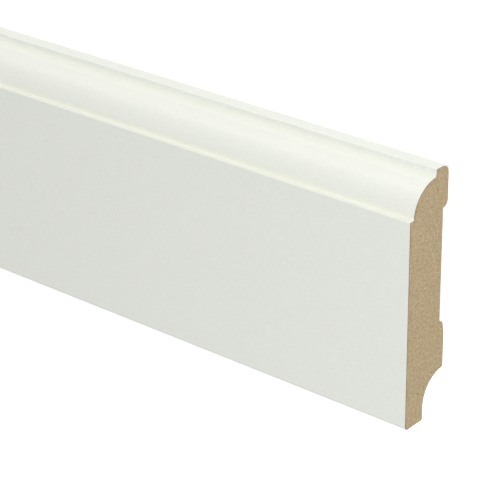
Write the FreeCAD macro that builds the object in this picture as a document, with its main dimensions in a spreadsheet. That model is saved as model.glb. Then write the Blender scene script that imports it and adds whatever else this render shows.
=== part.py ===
import FreeCAD, Part
import math
import os

import Sketcher

# A length of skirting board, machined from one piece of fibreboard, lying on its back.
# X runs along the length, Y from the foot to the moulded top edge, and Z from the wall side
# to the flat front face. The section is drawn as it stands on the wall: its first axis is the
# height above the floor and its second the distance from the wall. All sizes are millimetres.

SIZES = (
    ("board_length", 2400, "length of the board as it is sold"),
    ("board_height", 70, "height on the wall, floor to top edge"),
    ("board_thickness", 16, "thickness, wall side to flat front face"),
    ("moulding_height", 10.7, "top edge down to the ledge above the flat face"),
    ("ledge_depth", 1.6, "how far the moulding stands back from the flat face"),
    ("riser_height", 1.45, "upright of the ledge, up to the round"),
    ("ovolo_radius", 9.3, "radius of the quarter round"),
    ("neck_step", 0.25, "how far the round's upper end stands out past the nose's corner"),
    ("nose_height", 2.05, "top edge down to the foot of the nose hollow"),
    ("nose_thickness", 5.3, "wall side to the front corner of the top edge"),
    ("nose_hollow_radius", 3.2, "radius of the shallow hollow under the top edge"),
    ("upper_pad_height", 11.6, "top edge down to the shoulder of the back recess"),
    ("recess_depth", 2, "depth of the back recess from the wall side"),
    ("lower_pad_height", 26.35, "floor up to the lower end of the back recess"),
    ("shoulder_drop", 0.85, "fall of the recess's lower shoulder"),
    ("bevel_depth", 0.6, "depth of the bevel at the top of the lower pad"),
    ("bevel_height", 3.1, "height of that bevel"),
    ("foot_thickness", 7.5, "flat front face to the back of the foot"),
    ("foot_height", 3.8, "floor up to the start of the cable cove"),
    ("foot_front_radius", 1.2, "rounding of the foot's front corner"),
    ("foot_back_radius", 0.5, "rounding of the foot's back corner"),
    ("cove_lip_radius", 0.6, "rounding where the cable cove meets the lower pad"),
    ("top_back_radius", 1.5, "rounding of the top edge's back corner"),
    ("shoulder_land", 0.2, "flat left beside the rounding of the recess's upper shoulder"),
    ("arris_radius", 0.12, "easing of the ledge's and the nose's front corners"),
    ("cutter_radius", 0.25, "rounding that the cutters leave in the inner corners"),
)

# How a sketch numbers the ends and the centre of an edge, and its own two axes.
START, END, CENTRE = range(1, 4)
HEIGHT_AXIS, WALL_AXIS = -1, -2
ORIGIN = (HEIGHT_AXIS, START)


def make_sheet(doc):
    """The driving dimensions, one to a row, each with its alias."""
    sheet = doc.addObject("Spreadsheet::Sheet", "Sizes")
    for row, (alias, value, note) in enumerate(SIZES, start=1):
        sheet.set(f"A{row}", note)
        sheet.set(f"B{row}", str(value))
        sheet.setAlias(f"B{row}", alias)
    doc.recompute()
    return sheet


def line(start, end):
    return Part.LineSegment(start, end)


def arc(start, end, radius):
    """An arc that turns left on its way from start to end."""
    chord = end - start
    left = FreeCAD.Vector(-chord.y, chord.x, 0).normalize()
    reach = math.sqrt(radius**2 - (chord.Length / 2) ** 2)
    centre = (start + end) / 2 + left * reach
    first = math.atan2(start.y - centre.y, start.x - centre.x)
    last = math.atan2(end.y - centre.y, end.x - centre.x)
    circle = Part.Circle(centre, FreeCAD.Vector(0, 0, 1), radius)
    return Part.ArcOfCircle(circle, first, last)


def section_outline(sheet):
    """The section's edges in order, from the foot's front corner up the face and down the back."""
    height = sheet.board_height
    thickness = sheet.board_thickness
    ledge_height = height - sheet.moulding_height
    riser_distance = thickness - sheet.ledge_depth
    recess_top = height - sheet.upper_pad_height
    shoulder_foot = sheet.lower_pad_height - sheet.shoulder_drop
    cove_radius = thickness - sheet.foot_thickness

    def point(above_floor, from_wall):
        return FreeCAD.Vector(above_floor, from_wall, 0)

    foot_front = point(0, thickness)
    ledge_front = point(ledge_height, thickness)
    ledge_root = point(ledge_height, riser_distance)
    riser_top = point(ledge_height + sheet.riser_height, riser_distance)
    neck = point(height - sheet.nose_height, sheet.nose_thickness + sheet.neck_step)
    nose = point(height, sheet.nose_thickness)
    top_back = point(height, 0)
    upper_pad_foot = point(recess_top, 0)
    recess_upper_root = point(recess_top, sheet.recess_depth)
    recess_lower_root = point(sheet.lower_pad_height, sheet.recess_depth)
    bevel_top = point(shoulder_foot, sheet.bevel_depth)
    bevel_foot = point(shoulder_foot - sheet.bevel_height, 0)
    cove_lip = point(sheet.foot_height + cove_radius, 0)
    cove_foot = point(sheet.foot_height, cove_radius)
    foot_back = point(0, cove_radius)

    return {
        "front_face": line(foot_front, ledge_front),
        "ledge": line(ledge_front, ledge_root),
        "riser": line(ledge_root, riser_top),
        "ovolo": arc(neck, riser_top, sheet.ovolo_radius),
        "nose_hollow": arc(neck, nose, sheet.nose_hollow_radius),
        "top_edge": line(nose, top_back),
        "upper_pad": line(top_back, upper_pad_foot),
        "upper_shoulder": line(upper_pad_foot, recess_upper_root),
        "recess_floor": line(recess_upper_root, recess_lower_root),
        "lower_shoulder": line(recess_lower_root, bevel_top),
        "pad_bevel": line(bevel_top, bevel_foot),
        "lower_pad": line(bevel_foot, cove_lip),
        "cable_cove": arc(cove_lip, cove_foot, cove_radius),
        "foot_back": line(cove_foot, foot_back),
        "foot_base": line(foot_back, foot_front),
    }


def draw_section(body, sheet):
    """The section as a fully constrained sketch on the board's cross plane."""
    sketch = body.newObject("Sketcher::SketchObject", "Section")
    planes = {plane.Role: plane for plane in body.Origin.OriginFeatures}
    sketch.AttachmentSupport = (planes["YZ_Plane"], [""])
    sketch.MapMode = "FlatFace"

    outline = section_outline(sheet)
    sketch.addGeometry(list(outline.values()), False)
    edge = {name: index for index, name in enumerate(outline)}

    def join(first, first_end, second, second_end):
        sketch.addConstraint(
            Sketcher.Constraint("Coincident", edge[first], first_end, edge[second], second_end)
        )

    def dimension(kind, alias, *where):
        index = sketch.addConstraint(Sketcher.Constraint(kind, *where, getattr(sheet, alias)))
        sketch.renameConstraint(index, alias)
        sketch.setExpression(f"Constraints.{alias}", f"Sizes.{alias}")

    def end_of(name, end):
        return edge[name], end

    join("front_face", END, "ledge", START)
    join("ledge", END, "riser", START)
    join("riser", END, "ovolo", END)
    join("ovolo", START, "nose_hollow", START)
    join("nose_hollow", END, "top_edge", START)
    join("top_edge", END, "upper_pad", START)
    join("upper_pad", END, "upper_shoulder", START)
    join("upper_shoulder", END, "recess_floor", START)
    join("recess_floor", END, "lower_shoulder", START)
    join("lower_shoulder", END, "pad_bevel", START)
    join("pad_bevel", END, "lower_pad", START)
    join("lower_pad", END, "cable_cove", START)
    join("foot_back", END, "foot_base", START)
    join("foot_base", END, "front_face", START)

    for name in ("front_face", "riser", "upper_pad", "recess_floor", "lower_pad", "foot_back"):
        sketch.addConstraint(Sketcher.Constraint("Horizontal", edge[name]))
    for name in ("ledge", "top_edge", "upper_shoulder", "foot_base"):
        sketch.addConstraint(Sketcher.Constraint("Vertical", edge[name]))

    # The foot stands on the floor line, and both pads and the cove's centre lie on the wall line.
    for name, end, axis in (
        ("foot_base", START, WALL_AXIS),
        ("upper_pad", START, HEIGHT_AXIS),
        ("lower_pad", START, HEIGHT_AXIS),
        ("cable_cove", CENTRE, HEIGHT_AXIS),
    ):
        sketch.addConstraint(Sketcher.Constraint("PointOnObject", edge[name], end, axis))

    # The cove runs smoothly into the upright back of the foot.
    sketch.addConstraint(
        Sketcher.Constraint("Tangent", edge["cable_cove"], END, edge["foot_back"], START)
    )

    dimension("DistanceX", "board_height", *ORIGIN, *end_of("top_edge", END))
    dimension("DistanceY", "board_thickness", *ORIGIN, *end_of("front_face", START))
    dimension("DistanceX", "moulding_height", *end_of("front_face", END), *end_of("top_edge", START))
    dimension("DistanceY", "ledge_depth", *end_of("ledge", END), *end_of("ledge", START))
    dimension("DistanceX", "riser_height", *end_of("riser", START), *end_of("riser", END))
    dimension("Radius", "ovolo_radius", edge["ovolo"])
    dimension("DistanceY", "neck_step", *end_of("nose_hollow", END), *end_of("nose_hollow", START))
    dimension("DistanceX", "nose_height", *end_of("nose_hollow", START), *end_of("nose_hollow", END))
    dimension("DistanceY", "nose_thickness", *ORIGIN, *end_of("nose_hollow", END))
    dimension("Radius", "nose_hollow_radius", edge["nose_hollow"])
    dimension("DistanceX", "upper_pad_height", *end_of("upper_pad", END), *end_of("upper_pad", START))
    dimension("DistanceY", "recess_depth", *ORIGIN, *end_of("recess_floor", START))
    dimension("DistanceX", "lower_pad_height", *ORIGIN, *end_of("recess_floor", END))
    dimension("DistanceX", "shoulder_drop", *end_of("lower_shoulder", END), *end_of("lower_shoulder", START))
    dimension("DistanceY", "bevel_depth", *ORIGIN, *end_of("pad_bevel", START))
    dimension("DistanceX", "bevel_height", *end_of("pad_bevel", END), *end_of("pad_bevel", START))
    dimension("DistanceX", "foot_height", *ORIGIN, *end_of("foot_back", START))
    dimension("DistanceY", "foot_thickness", *end_of("foot_back", START), *end_of("front_face", START))
    body.Document.recompute()

    corners = {
        name: sketch.getPoint(edge[name], END if name == "ovolo" else START) for name in outline
    }
    return sketch, corners


def long_edge(shape, corner):
    """Name of the edge that runs the whole length through a corner of the section."""

    def distance(numbered_edge):
        middle = numbered_edge[1].CenterOfMass
        off_middle = abs(middle.x)
        return off_middle + math.hypot(middle.y - corner.x, middle.z - corner.y)

    number, _ = min(enumerate(shape.Edges, start=1), key=distance)
    return f"Edge{number}"


def round_corners(body, name, radius, corners):
    """Rounds the long edges through these corners of the section to a radius from the sheet."""
    base = body.Tip
    edges = [long_edge(base.Shape, corner) for corner in corners]
    fillet = body.newObject("PartDesign::Fillet", name)
    fillet.Base = (base, edges)
    fillet.setExpression("Radius", radius)
    body.Document.recompute()


def make_board(doc, sheet):
    """The whole board: the section run along its length, with its corners eased."""
    body = doc.addObject("PartDesign::Body", "SkirtingBoard")
    body.Label = "skirting_board"
    sketch, corner = draw_section(body, sheet)

    pad = body.newObject("PartDesign::Pad", "Length")
    pad.Profile = sketch
    pad.SideType = "Symmetric"
    pad.setExpression("Length", "Sizes.board_length")
    doc.recompute()

    shoulder_radius = "Sizes.recess_depth - Sizes.shoulder_land"
    round_corners(body, "TopBackRounding", "Sizes.top_back_radius", [corner["upper_pad"]])
    round_corners(body, "ShoulderRounding", shoulder_radius, [corner["upper_shoulder"]])
    round_corners(body, "FootFrontRounding", "Sizes.foot_front_radius", [corner["front_face"]])
    round_corners(body, "FootBackRounding", "Sizes.foot_back_radius", [corner["foot_base"]])
    round_corners(body, "CoveLipRounding", "Sizes.cove_lip_radius", [corner["cable_cove"]])
    round_corners(body, "Arrises", "Sizes.arris_radius", [corner["ledge"], corner["top_edge"]])
    inner_corners = [corner["riser"], corner["lower_shoulder"]]
    round_corners(body, "InnerCorners", "Sizes.cutter_radius", inner_corners)

    # The section is drawn from the floor up. The stored board lies centred under its own middle.
    body.setExpression("Placement.Base.y", "-Sizes.board_height / 2")
    doc.recompute()
    return body


def check(doc, bodies):
    """Stops before anything is written if a feature failed or a solid is not sound."""
    for item in doc.Objects:
        if "Invalid" in item.State or "Error" in item.State:
            raise RuntimeError(f"{item.Name} failed: {item.State}")
    for body in bodies:
        shape = body.Shape
        if shape.isNull() or not shape.isValid() or len(shape.Solids) != 1:
            raise RuntimeError(f"{body.Label} is not one sound solid")


def main():
    doc = FreeCAD.newDocument("SkirtingBoardLength")
    sheet = make_sheet(doc)
    bodies = [make_board(doc, sheet)]
    check(doc, bodies)

    os.makedirs("parts", exist_ok=True)
    for body in bodies:
        body.Shape.exportStep(f"parts/{body.Label}.step")
        box = body.Shape.BoundBox
        print(body.Label, "size", round(box.XLength, 3), round(box.YLength, 3), round(box.ZLength, 3))
        print("section area", round(body.Shape.Volume / box.XLength, 2))


main()
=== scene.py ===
import math
import random

import bpy
import numpy as np
from mathutils import Matrix, Vector, noise
from mathutils.geometry import delaunay_2d_cdt


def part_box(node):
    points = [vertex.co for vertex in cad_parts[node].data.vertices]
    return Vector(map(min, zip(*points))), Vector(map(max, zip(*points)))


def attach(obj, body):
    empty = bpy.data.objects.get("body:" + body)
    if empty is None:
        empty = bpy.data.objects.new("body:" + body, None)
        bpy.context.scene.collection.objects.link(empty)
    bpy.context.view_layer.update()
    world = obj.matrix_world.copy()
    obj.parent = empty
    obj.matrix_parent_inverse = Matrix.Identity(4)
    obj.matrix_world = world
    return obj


# A length of white-lacquered fibreboard skirting, lying on its back on a pale floor.
# X runs along the board, Y from the foot to the moulded top edge, and Z up from the wall side to
# the flat front face. Lengths are metres. Heights are measured along Y from the middle of the
# board, and depths along Z from its back.

MM = 0.001

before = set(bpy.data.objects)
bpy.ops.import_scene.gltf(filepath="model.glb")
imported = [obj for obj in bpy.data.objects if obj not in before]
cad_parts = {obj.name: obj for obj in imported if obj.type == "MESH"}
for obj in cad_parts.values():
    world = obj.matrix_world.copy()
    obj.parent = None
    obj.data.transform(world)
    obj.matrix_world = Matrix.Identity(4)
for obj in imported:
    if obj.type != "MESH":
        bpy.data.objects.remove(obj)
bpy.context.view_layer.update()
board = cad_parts["skirting_board"]
BOARD_LOW, BOARD_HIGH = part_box("skirting_board")

# The camera looks down on the sawn end, turned so that the board's top edge is up in the picture.
EYE = Vector((1.48477, 0.25645, 0.41565))
AIM = Vector((1.16663, 0.01495, 0.03754))
ROLL = math.radians(-118.103)
LENS = 158.69
SENSOR = 36.0
NEAREST = 0.01
FARTHEST = 50.0

KEY_COLOUR = (1.0, 0.973, 0.890)
ROOM_LIGHT = 0.245
FLOOR_HALF = 8.0
FLOOR_GREY = (0.80, 0.80, 0.80, 1)
FLOOR_PALE = (0.83, 0.83, 0.83, 1)
FLOOR_GLOW = 0.65

# Colours of the lacquer and of the raw fibreboard.
WHITE = (0.875, 0.90, 0.839, 1)
WHITE_DIM = (0.843, 0.868, 0.807, 1)
WHITE_BRIGHT = (0.907, 0.932, 0.871, 1)
NIB = (0.72, 0.74, 0.66, 1)
# Painted bounce light for the moulding's inner corners.
BOUNCE_LIT_WHITE = (0.900, 0.915, 0.830, 1)
# Painted highlight for the crest beside the neck.
CREST_HIGHLIGHT_WHITE = (0.920, 0.940, 0.882, 1)
# Painted highlight for the front corners of the ledge and the nose.
ARRIS_HIGHLIGHT_WHITE = (0.93, 0.955, 0.90, 1)
FIBRE = (0.488, 0.380, 0.223, 1)
FIBRE_DARK = (0.312, 0.230, 0.125, 1)
FIBRE_LIGHT = (0.672, 0.562, 0.374, 1)
FIBRE_RED = (0.595, 0.360, 0.182, 1)
FIBRE_GREEN = (0.403, 0.403, 0.254, 1)
BARK = (0.20, 0.135, 0.07, 1)
STRAW = (0.95, 0.88, 0.68, 1)
# The dark line along the sawn end's lacquered edge.
DARK_RIM = (0.307, 0.182, 0.154, 1)

# The finish of both: roughness, and the height of the fine grain that the bump shows.
LACQUER_ROUGHNESS = 0.38
FIBRE_ROUGHNESS = 0.92
LACQUER_BUMP = 0.016 * MM
FIBRE_BUMP = 0.10 * MM

# The grain of the finish. Each noise is its scale in waves per metre, its detail and its
# roughness. Each range holds the noise values between which one colour gives way to the next.
FELT_NOISE = (1600.0, 3.0, 0.95)
FELT_STRETCH = (1.0, 0.8, 1.0)
CLOUD_NOISE = (240.0, 2.0, 0.5)
CLOUD_SHARE = 0.06
DARK_RANGE = (0.33, 0.50)
LIGHT_RANGE = (0.50, 0.67)
TINT_NOISE = (800.0, 4.0, 0.8)
TINT_SHIFT = (0.21, 0.05, 0.09)
TINT_RANGE = (0.35, 0.65)
TINT_SHARE = 0.16
BARK_NOISE = (1900.0, 1.0, 0.5)
BARK_STRETCH = (1.0, 0.55, 1.0)
BARK_SHIFT = (0.31, 0.07, 0.12)
BARK_RANGE = (0.69, 0.76)
STRAW_NOISE = (2000.0, 1.0, 0.5)
STRAW_STRETCH = (1.0, 0.7, 1.0)
STRAW_SHIFT = (0.13, 0.17, 0.04)
STRAW_RANGE = (0.72, 0.79)
GRAIN_NOISE = (2600.0, 2.0, 0.6)
SHADE_NOISE = (350.0, 2.0, 0.5)
SHADE_SHARE = 0.1
MOTTLE_RANGE = (0.25, 0.75)
NIB_NOISE = (1100.0, 0.0, 0.5)
NIB_SHIFT = (0.07, 0.11, 0.05)
NIB_RANGE = (0.85, 0.89)
NIB_SHARE = 0.5
FLOOR_NOISE = (1.5, 3.0, 0.5)

# Where the lacquer ends: two depths, one part of the way under the foot and one part of the way
# round the top edge's back corner. The second holds above the moulding's foot, a height.
FOOT_LACQUER_EDGE = 13.0 * MM
TOP_LACQUER_EDGE = 0.35 * MM
MOULDING_FOOT = 25.5 * MM
OVERSPRAY = 0.35 * MM
EDGE_NOISE = (90.0, 3.0, 0.5)
EDGE_DRIFT = 0.6 * MM

# Painted bounce light in the moulding's two long inner corners: a brighter, yellower white where light
# is thrown back between the corner's faces. It starts at the foot of each and is gone between the two
# heights of its range.
RISER_FOOT = 24.3 * MM
RISER_RANGE = (25.3 * MM, 26.5 * MM)
RISER_SHARE = 1.0
NECK_FOOT = 32.95 * MM
NECK_RANGE = (33.3 * MM, 34.1 * MM)
NECK_SHARE = 0.6
BOUNCE_START = (-0.12 * MM, 0.05 * MM)
LEDGE_DEPTHS = (14.4 * MM, 15.8 * MM)
LEDGE_SHARE = 0.1

# Painted highlights along the moulding: the crest of the quarter round beside the neck, and the
# front corners of the ledge and the nose, each a height and a depth.
CREST_HEIGHT = 32.75 * MM
CREST_REACH = 0.48 * MM
CREST_SHARE = 0.9
LEDGE_CORNER = (24.3 * MM, 16.0 * MM)
NOSE_CORNER = (35.0 * MM, 5.0 * MM)
ARRIS_CORE = 0.09 * MM
ARRIS_REACH = 0.30 * MM

# Bands along the sawn end's lacquered side: a dark line right at the edge and the denser outer fibres.
RIM_NOISE = (700.0, 2.0, 0.5)
RIM_DRIFT = 0.15 * MM
DARK_RIM_REACH = (0.06 * MM, 0.32 * MM)
DARK_RIM_SHARE = 0.9
DENSE_REACH = (0.3 * MM, 2.8 * MM)
DENSE_SHARE = 0.55
LAYER_NOISE = (1500.0, 2.0, 0.6)
LAYER_STRETCH = (1.0, 0.09, 1.0)
LAYER_RANGE = (0.45, 0.72)

# The fibre's own radius in the top edge's back corner, which the lacquer fills out.
BARE_RADIUS = 2.8 * MM

# The torn grain of the sawn ends: spacing of its points and their scatter, its height, how deep
# its hidden rim lies, and two waves of tearing with their scales along Y and Z.
GRAIN_STEP = 0.32 * MM
GRAIN_SCATTER = 0.3
GRAIN_RISE = 0.07 * MM
GRAIN_DEPTH = 0.06 * MM
RIM_STEP = 0.5 * MM
RIM_BAND = 0.14 * MM
HIDDEN_BAND = 0.3 * RIM_BAND
FINE_TEAR = (2600, 3200)
COARSE_TEAR = (700, 900)
COARSE_SHARE = 0.6
COARSE_SEED = 5
MEAN_TEAR = 0.55
TEAR_SWING = 0.45
LEAST_TEAR = 0.15


class Graph:
    """Short calls for the nodes of one material."""

    def __init__(self, tree):
        self.tree = tree
        self.tree.nodes.clear()

    def add(self, kind, inputs=None, **settings):
        node = self.tree.nodes.new(kind)
        for name, value in settings.items():
            setattr(node, name, value)
        for socket, value in (inputs or {}).items():
            if isinstance(value, bpy.types.NodeSocket):
                self.tree.links.new(value, node.inputs[socket])
            else:
                node.inputs[socket].default_value = value
        return node

    def math(self, operation, *values):
        return self.add("ShaderNodeMath", dict(enumerate(values)), operation=operation).outputs[0]

    def ramp(self, value, low, high, to_low=0.0, to_high=1.0):
        """A smooth step of a value from low to high."""
        inputs = {"Value": value, "From Min": low, "From Max": high, "To Min": to_low, "To Max": to_high}
        return self.add("ShaderNodeMapRange", inputs, interpolation_type="SMOOTHSTEP").outputs["Result"]

    def noise(self, where, scale, detail, roughness):
        inputs = {"Vector": where, "Scale": scale, "Detail": detail, "Roughness": roughness}
        return self.add("ShaderNodeTexNoise", inputs).outputs["Fac"]

    def drift(self, where, reach, settings):
        """A noise that wanders from minus reach to plus reach."""
        return self.math("MULTIPLY_ADD", self.noise(where, *settings), 2 * reach, -reach)

    def stretch(self, where, factors=(1, 1, 1), shift=(0, 0, 0)):
        inputs = {"Vector": where, "Scale": factors, "Location": shift}
        return self.add("ShaderNodeMapping", inputs).outputs["Vector"]

    def split(self, vector):
        """The X, Y and Z of a vector."""
        return self.add("ShaderNodeSeparateXYZ", {0: vector}).outputs

    def object_place(self):
        return self.add("ShaderNodeTexCoord").outputs["Object"]

    def mix(self, factor, first, second):
        node = self.add("ShaderNodeMix", {0: factor, 6: first, 7: second}, data_type="RGBA")
        return node.outputs[2]

    def blend(self, factor, first, second):
        """The same as mix, for single numbers."""
        return self.add("ShaderNodeMix", {0: factor, 2: first, 3: second}).outputs[0]

    def shared(self, first, second, share):
        """A first value with a share of a second one in it."""
        most = self.math("MULTIPLY", first, 1.0 - share)
        return self.math("ADD", most, self.math("MULTIPLY", second, share))

    def distance(self, across, along):
        squares = [self.math("MULTIPLY", side, side) for side in (across, along)]
        return self.math("SQRT", self.math("ADD", *squares))

    def finish(self, colour, roughness, height):
        """The surface itself, with a bump from a height in metres."""
        bump = self.add("ShaderNodeBump", {"Strength": 1.0, "Distance": 1.0, "Height": height})
        inputs = {"Base Color": colour, "Roughness": roughness, "Normal": bump.outputs["Normal"]}
        shader = self.add("ShaderNodeBsdfPrincipled", inputs)
        self.add("ShaderNodeOutputMaterial", {"Surface": shader.outputs["BSDF"]})


def new_material(name):
    material = bpy.data.materials.new(name)
    material.use_nodes = True
    return material, Graph(material.node_tree)


def fibre_look(nodes, where):
    """Colour and height of raw fibreboard: felted fibres with darker and paler bundles in them."""
    felt = nodes.noise(nodes.stretch(where, FELT_STRETCH), *FELT_NOISE)
    tone = nodes.shared(felt, nodes.noise(where, *CLOUD_NOISE), CLOUD_SHARE)
    colour = nodes.mix(nodes.ramp(tone, *DARK_RANGE), FIBRE_DARK, FIBRE)
    colour = nodes.mix(nodes.ramp(tone, *LIGHT_RANGE), colour, FIBRE_LIGHT)
    tint = nodes.noise(nodes.stretch(where, FELT_STRETCH, TINT_SHIFT), *TINT_NOISE)
    tinted = nodes.mix(nodes.ramp(tint, *TINT_RANGE), FIBRE_RED, FIBRE_GREEN)
    colour = nodes.mix(TINT_SHARE, colour, tinted)
    bark = nodes.noise(nodes.stretch(where, BARK_STRETCH, BARK_SHIFT), *BARK_NOISE)
    colour = nodes.mix(nodes.ramp(bark, *BARK_RANGE), colour, BARK)
    straw = nodes.noise(nodes.stretch(where, STRAW_STRETCH, STRAW_SHIFT), *STRAW_NOISE)
    colour = nodes.mix(nodes.ramp(straw, *STRAW_RANGE), colour, STRAW)
    return colour, tone


def lacquer_mask(nodes, where, normal_x):
    """1 on the lacquered faces and 0 on the raw fibreboard of the sawn ends and the back."""
    place = nodes.split(where)
    depth = nodes.math("ADD", place[2], nodes.drift(where, EDGE_DRIFT, EDGE_NOISE))
    front = nodes.ramp(depth, FOOT_LACQUER_EDGE - OVERSPRAY, FOOT_LACQUER_EDGE + OVERSPRAY)
    top = nodes.ramp(depth, TOP_LACQUER_EDGE - OVERSPRAY, TOP_LACQUER_EDGE + OVERSPRAY)
    on_moulding = nodes.math("GREATER_THAN", place[1], MOULDING_FOOT)
    coated = nodes.math("MAXIMUM", front, nodes.math("MULTIPLY", top, on_moulding))
    on_end = nodes.math("GREATER_THAN", nodes.math("ABSOLUTE", normal_x), 0.5)
    return nodes.math("MULTIPLY", coated, nodes.math("SUBTRACT", 1.0, on_end))


def painted_bounce_light(nodes, place):
    """The two long inner corners of the moulding, painted brighter and yellower as bounce light."""
    bounce_bands = ((RISER_FOOT, RISER_RANGE, RISER_SHARE), (NECK_FOOT, NECK_RANGE, NECK_SHARE))
    corners = []
    for foot, (full, gone), share in bounce_bands:
        above = nodes.ramp(place[1], foot + BOUNCE_START[0], foot + BOUNCE_START[1])
        corners.append(nodes.math("MULTIPLY", above, nodes.ramp(place[1], full, gone, share, 0.0)))
    inner = nodes.ramp(place[2], *LEDGE_DEPTHS, 1.0, LEDGE_SHARE)
    return nodes.math("MULTIPLY", nodes.math("MAXIMUM", *corners), inner)


def painted_crest_highlight(nodes, place):
    """The top of the quarter round beside the neck, with a painted highlight."""
    aside = nodes.math("ABSOLUTE", nodes.math("SUBTRACT", place[1], CREST_HEIGHT))
    return nodes.ramp(aside, 0.0, CREST_REACH, CREST_SHARE, 0.0)


def painted_arris_highlights(nodes, place):
    """The front corners of the ledge and the nose, with painted highlights along them."""
    lines = []
    for height, depth in (LEDGE_CORNER, NOSE_CORNER):
        across = nodes.math("SUBTRACT", place[1], height)
        along = nodes.math("SUBTRACT", place[2], depth)
        lines.append(nodes.ramp(nodes.distance(across, along), ARRIS_CORE, ARRIS_REACH, 1.0, 0.0))
    return nodes.math("MAXIMUM", *lines)


def lacquer_look(nodes, where):
    """Colour and grain of the lacquer: nearly even, with the grain of the fibres under it."""
    grain = nodes.noise(where, *GRAIN_NOISE)
    mottle = nodes.shared(grain, nodes.noise(where, *SHADE_NOISE), SHADE_SHARE)
    colour = nodes.mix(nodes.ramp(mottle, *MOTTLE_RANGE), WHITE_DIM, WHITE_BRIGHT)
    nibs = nodes.noise(nodes.stretch(where, shift=NIB_SHIFT), *NIB_NOISE)
    colour = nodes.mix(nodes.ramp(nibs, *NIB_RANGE, 0.0, NIB_SHARE), colour, NIB)
    place = nodes.split(where)
    # Painted highlight along the crest beside the neck.
    colour = nodes.mix(painted_crest_highlight(nodes, place), colour, CREST_HIGHLIGHT_WHITE)
    # Painted bounce light: the inner corners brighter and yellower.
    colour = nodes.mix(painted_bounce_light(nodes, place), colour, BOUNCE_LIT_WHITE)
    # Painted highlights along the front corners of the ledge and the nose.
    colour = nodes.mix(painted_arris_highlights(nodes, place), colour, ARRIS_HIGHLIGHT_WHITE)
    return colour, grain


def board_material():
    """Lacquer on the face, moulding and edges, and raw fibreboard on the back and in the cove."""
    material, nodes = new_material("lacquered_fibreboard")
    where = nodes.object_place()
    true_normal = nodes.add("ShaderNodeNewGeometry").outputs["True Normal"]
    coated = lacquer_mask(nodes, where, nodes.split(true_normal)[0])
    fibre, tone = fibre_look(nodes, where)
    lacquer, grain = lacquer_look(nodes, where)
    colour = nodes.mix(coated, fibre, lacquer)
    roughness = nodes.blend(coated, FIBRE_ROUGHNESS, LACQUER_ROUGHNESS)
    raw_height = nodes.math("MULTIPLY", tone, FIBRE_BUMP)
    height = nodes.blend(coated, raw_height, nodes.math("MULTIPLY", grain, LACQUER_BUMP))
    nodes.finish(colour, roughness, height)
    return material


def corner_film(nodes, place):
    """1 where lacquer fills the top edge's back corner, outside the fibre's own rounder corner."""
    above = nodes.math("SUBTRACT", place[1], BOARD_HIGH[1] - BARE_RADIUS)
    behind = nodes.math("SUBTRACT", BARE_RADIUS, place[2])
    above, behind = (nodes.math("MAXIMUM", side, 0.0) for side in (above, behind))
    beside = nodes.math("GREATER_THAN", above, 0.0)
    in_corner = nodes.math("MULTIPLY", beside, nodes.math("GREATER_THAN", behind, 0.0))
    outside = nodes.math("GREATER_THAN", nodes.distance(above, behind), BARE_RADIUS)
    return nodes.math("MULTIPLY", in_corner, outside)


def sawn_material():
    """The sawn end: raw fibreboard, with a dark line along its lacquered side."""
    material, nodes = new_material("sawn_fibreboard")
    where = nodes.object_place()
    fibre, tone = fibre_look(nodes, where)
    to_lacquer = nodes.add("ShaderNodeAttribute", attribute_name="to_lacquer").outputs["Fac"]
    reach = nodes.math("ADD", to_lacquer, nodes.drift(where, RIM_DRIFT, RIM_NOISE))
    layers = nodes.noise(nodes.stretch(where, LAYER_STRETCH), *LAYER_NOISE)
    outer = nodes.ramp(reach, *DENSE_REACH, DENSE_SHARE, 0.0)
    dense = nodes.math("MULTIPLY", outer, nodes.ramp(layers, *LAYER_RANGE))
    colour = nodes.mix(dense, fibre, FIBRE_DARK)
    # A dark line along the lacquered edge.
    colour = nodes.mix(nodes.ramp(reach, *DARK_RIM_REACH, DARK_RIM_SHARE, 0.0), colour, DARK_RIM)
    colour = nodes.mix(corner_film(nodes, nodes.split(where)), colour, WHITE)
    nodes.finish(colour, FIBRE_ROUGHNESS, nodes.math("MULTIPLY", tone, FIBRE_BUMP))
    return material


def floor_material():
    """Pale floor. The camera sees it nearly white, and it keeps the board's shadow."""
    material, nodes = new_material("pale_floor")
    cloud = nodes.noise(nodes.object_place(), *FLOOR_NOISE)
    matt = nodes.add("ShaderNodeBsdfDiffuse", {"Color": nodes.mix(cloud, FLOOR_GREY, FLOOR_PALE)})
    path = nodes.add("ShaderNodeLightPath").outputs
    seen = nodes.math("MAXIMUM", path["Is Camera Ray"], path["Is Glossy Ray"])
    seen = nodes.math("MAXIMUM", seen, path["Is Transmission Ray"])
    glow = nodes.add("ShaderNodeEmission", {"Strength": nodes.math("MULTIPLY", seen, FLOOR_GLOW)})
    both = nodes.add("ShaderNodeAddShader", {0: matt.outputs[0], 1: glow.outputs[0]})
    nodes.add("ShaderNodeOutputMaterial", {"Surface": both.outputs[0]})
    return material


def make_floor():
    mesh = bpy.data.meshes.new("floor")
    signs = ((-1, -1), (1, -1), (1, 1), (-1, 1))
    mesh.from_pydata([(x * FLOOR_HALF, y * FLOOR_HALF, 0) for x, y in signs], [], [(0, 1, 2, 3)])
    floor = bpy.data.objects.new("floor", mesh)
    bpy.context.scene.collection.objects.link(floor)
    mesh.materials.append(floor_material())


def make_world():
    """Dim, even light from all round. The camera sees it white."""
    world = bpy.data.worlds.new("studio")
    bpy.context.scene.world = world
    world.use_nodes = True
    nodes = Graph(world.node_tree)
    path = nodes.add("ShaderNodeLightPath").outputs
    seen = nodes.math("MAXIMUM", path["Is Camera Ray"], path["Is Transmission Ray"])
    strength = nodes.blend(seen, ROOM_LIGHT, 1.0)
    sky = nodes.add("ShaderNodeBackground", {"Color": (1, 1, 1, 1), "Strength": strength})
    nodes.add("ShaderNodeOutputWorld", {"Surface": sky.outputs[0]})


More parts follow.
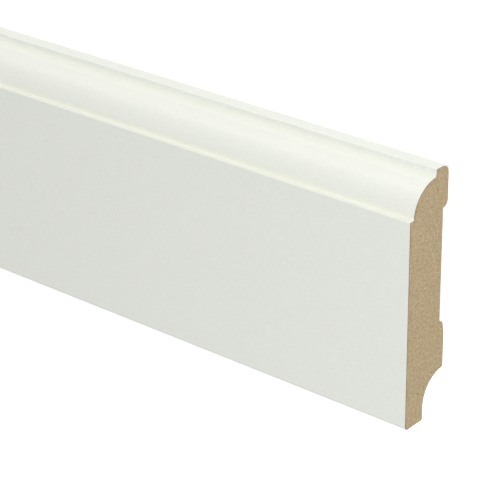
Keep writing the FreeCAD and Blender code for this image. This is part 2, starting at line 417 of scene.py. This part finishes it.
def add_lamp(name, place, aim, size, power, colour=(1, 1, 1)):
    data = bpy.data.lights.new(name, "AREA")
    data.shape = "RECTANGLE"
    data.size, data.size_y = size
    data.energy = power
    data.color = colour
    lamp = bpy.data.objects.new(name, data)
    lamp.location = place
    lamp.rotation_euler = (Vector(aim) - Vector(place)).to_track_quat("-Z", "Y").to_euler()
    bpy.context.scene.collection.objects.link(lamp)


def add_camera():
    data = bpy.data.cameras.new("camera")
    data.lens = LENS
    data.sensor_width = SENSOR
    data.clip_start = NEAREST
    data.clip_end = FARTHEST
    camera = bpy.data.objects.new("camera", data)
    look = (AIM - EYE).to_track_quat("-Z", "Y").to_matrix()
    turn = Matrix.Rotation(ROLL, 3, "Z")
    camera.matrix_world = Matrix.Translation(EYE) @ (look @ turn).to_4x4()
    bpy.context.scene.collection.objects.link(camera)
    bpy.context.scene.camera = camera


def end_outline(side):
    """The (y, z) corners of one sawn end, anticlockwise as seen from +X."""
    mesh = board.data
    edges = set()
    for face in mesh.polygons:
        if face.normal.x * side > 0.9:
            ring = [tuple(round(v, 6) for v in mesh.vertices[i].co.yz) for i in face.vertices]
            edges.update(zip(ring, ring[1:] + ring[:1]))
    following = {start: end for start, end in edges if (end, start) not in edges}
    first = min(following)
    outline = [first]
    while following[outline[-1]] != first:
        outline.append(following[outline[-1]])
    return np.array(outline if side > 0 else outline[::-1])


def divide(outline, step):
    """The same closed line with points at most a step apart."""
    points = []
    for start, end in zip(outline, np.roll(outline, -1, axis=0)):
        parts = max(1, math.ceil(np.linalg.norm(end - start) / step))
        points.extend(start + (end - start) * k / parts for k in range(parts))
    return np.array(points)


def inset(ring, distance):
    """A closed anticlockwise line moved inwards by a distance."""
    along = np.roll(ring, -1, axis=0) - ring
    along /= np.linalg.norm(along, axis=1)[:, None]
    inward = np.stack([-along[:, 1], along[:, 0]], axis=1)
    both = inward + np.roll(inward, 1, axis=0)
    both /= np.linalg.norm(both, axis=1)[:, None]
    return ring + both * (distance / np.maximum((both * inward).sum(1), 0.5))[:, None]


def distance_to(points, starts, ends):
    """Distance of every point from the nearest of some straight pieces."""
    runs = ends - starts
    gaps = points[:, None] - starts[None]
    share = np.clip((gaps * runs).sum(2) / (runs**2).sum(1), 0, 1)
    return np.linalg.norm(gaps - share[..., None] * runs, axis=2).min(axis=1)


def is_inside(points, starts, ends):
    """Whether each point lies inside the closed line that some straight pieces make."""
    heights = points[:, None, 1]
    spans = (starts[:, 1] > heights) != (ends[:, 1] > heights)
    rise = np.where(ends[:, 1] == starts[:, 1], 1.0, ends[:, 1] - starts[:, 1])
    crossing = starts[:, 0] + (heights - starts[:, 1]) * (ends[:, 0] - starts[:, 0]) / rise
    return (spans & (points[:, None, 0] < crossing)).sum(axis=1) % 2 == 1


def scatter(rim, rim_next, seed):
    """Points spread unevenly over the inside of a closed line, clear of its band."""
    chance = random.Random(seed)
    low, high = rim.min(axis=0), rim.max(axis=0)
    grid = []
    for y in np.arange(low[0], high[0], GRAIN_STEP):
        for z in np.arange(low[1], high[1], GRAIN_STEP):
            aside = chance.uniform(-GRAIN_SCATTER, GRAIN_SCATTER) * GRAIN_STEP
            above = chance.uniform(-GRAIN_SCATTER, GRAIN_SCATTER) * GRAIN_STEP
            grid.append((y + aside, z + above))
    grid = np.array(grid)
    clear = distance_to(grid, rim, rim_next) > RIM_BAND + 0.5 * GRAIN_STEP
    return grid[is_inside(grid, rim, rim_next) & clear]


def torn(y, z, seed):
    """How far the torn fibres stand out of a sawn end at one place."""
    tear = noise.noise(Vector((y * FINE_TEAR[0], z * FINE_TEAR[1], seed)))
    coarse = Vector((y * COARSE_TEAR[0], z * COARSE_TEAR[1], seed + COARSE_SEED))
    tear += COARSE_SHARE * noise.noise(coarse)
    return GRAIN_RISE * min(max(MEAN_TEAR + TEAR_SWING * tear, LEAST_TEAR), 1.0)


def make_sawn_end(name, side, seed, material):
    """The torn fibres that the saw left: a thin closed relief over one end of the board."""
    rim = divide(end_outline(side), RIM_STEP)
    rim_next = np.roll(rim, -1, axis=0)
    count = len(rim)
    loops = [(i, (i + 1) % count) for i in range(count)]
    loops += [(count + a, count + b) for a, b in loops]
    flat = np.vstack([rim, inset(rim, RIM_BAND), scatter(rim, rim_next, seed)])
    points, _, faces, *_ = delaunay_2d_cdt([Vector(p) for p in flat], loops, [], 1, 1e-7)
    points = np.array([tuple(p) for p in points])

    on_top = (rim[:, 0] > MOULDING_FOOT) & (rim[:, 1] > TOP_LACQUER_EDGE)
    coated = (rim[:, 1] > FOOT_LACQUER_EDGE) | on_top
    to_rim = distance_to(points, rim, rim_next)
    to_lacquer = distance_to(points, rim[coated], rim_next[coated])
    end = BOARD_HIGH[0] if side > 0 else BOARD_LOW[0]
    front = []
    for (y, z), gap in zip(points, to_rim):
        rise = torn(y, z, seed) * min(gap / RIM_BAND, 1.0)
        front.append((end + side * rise, y, z))

    # The rim runs back into the board just inside its surface, which closes the relief.
    back = [(end - side * GRAIN_DEPTH, y, z) for y, z in inset(rim, HIDDEN_BAND)]
    total = len(front)
    walls = [(i, total + i, total + j, j) for i, j in loops[:count]]
    lid = tuple(range(total + count - 1, total - 1, -1))
    faces = [tuple(face) for face in faces] + walls + [lid]
    if side < 0:
        faces = [face[::-1] for face in faces]

    mesh = bpy.data.meshes.new(name)
    mesh.from_pydata(front + back, [], faces)
    distances = mesh.attributes.new("to_lacquer", "FLOAT", "POINT")
    distances.data.foreach_set("value", list(to_lacquer) + [0.0] * count)
    mesh.materials.append(material)
    mesh.validate()
    piece = bpy.data.objects.new(name, mesh)
    bpy.context.scene.collection.objects.link(piece)
    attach(piece, "root")


board.data.materials.clear()
board.data.materials.append(board_material())
sawn = sawn_material()
make_sawn_end("sawn_end_right", side=1, seed=3, material=sawn)
make_sawn_end("sawn_end_left", side=-1, seed=8, material=sawn)
make_floor()
make_world()

# The key lamp stands beyond the top edge and the low one beyond the foot. Two more light the end
# that the camera sees, and the far lamp keeps the rest of the board from falling into the dark.
board_aim = (0.2, 0.0, 0.0)
near_aim = (1.15, 0.0, 0.0)
far_aim = (-0.80, 0.0, 0.0)
add_lamp("key", (-0.1, 2.5, 0.6), board_aim, size=(3.0, 1.0), power=23.5, colour=KEY_COLOUR)
add_lamp("low", (0.2, -1.6, 0.9), board_aim, size=(3.0, 1.0), power=8.6)
add_lamp("near", (2.1, 0.70, 1.00), near_aim, size=(1.0, 1.0), power=13.6)
add_lamp("side", (1.62, -0.10, 0.55), near_aim, size=(0.5, 0.5), power=1.0)
add_lamp("far", (-0.80, 0.10, 0.80), far_aim, size=(2.0, 0.8), power=3.6)
add_camera()
bpy.context.scene.view_settings.view_transform = "Standard"
